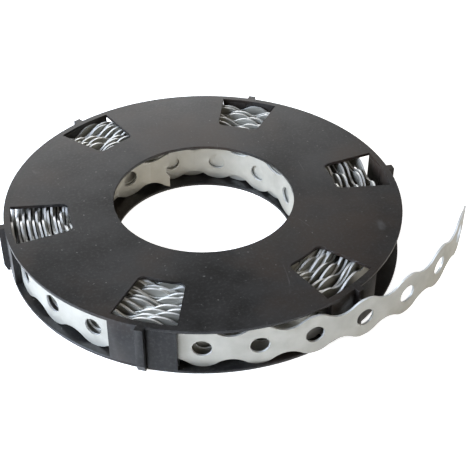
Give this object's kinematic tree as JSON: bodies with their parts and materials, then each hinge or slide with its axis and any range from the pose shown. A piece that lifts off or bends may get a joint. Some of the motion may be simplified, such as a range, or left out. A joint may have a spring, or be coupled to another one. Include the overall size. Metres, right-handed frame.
{
  "type": "perforated steel strap in a dispenser cassette",
  "caption": "Wavy perforated steel fixing strap coiled on edge in a flat round plastic dispenser with windows, its free end pulled out at the rim.",
  "frame": {"origin": "on the axis of the cassette's bore, at the underside of the base plate", "axes": "+Z along the bore axis, from the base plate to the lid; +X through the middle of one wall panel"},
  "size_m": [0.1768, 0.1554, 0.0228],
  "materials": {
    "black_plastic": "satin moulded plastic, charcoal black",
    "zinc_steel": "galvanised steel strip, satin with bright cut edges"
  },
  "bodies": {
    "root": {"cassette_base": "black_plastic", "cassette_lid": "black_plastic", "perforated_strap": "zinc_steel"}
  },
  "joints": []
}
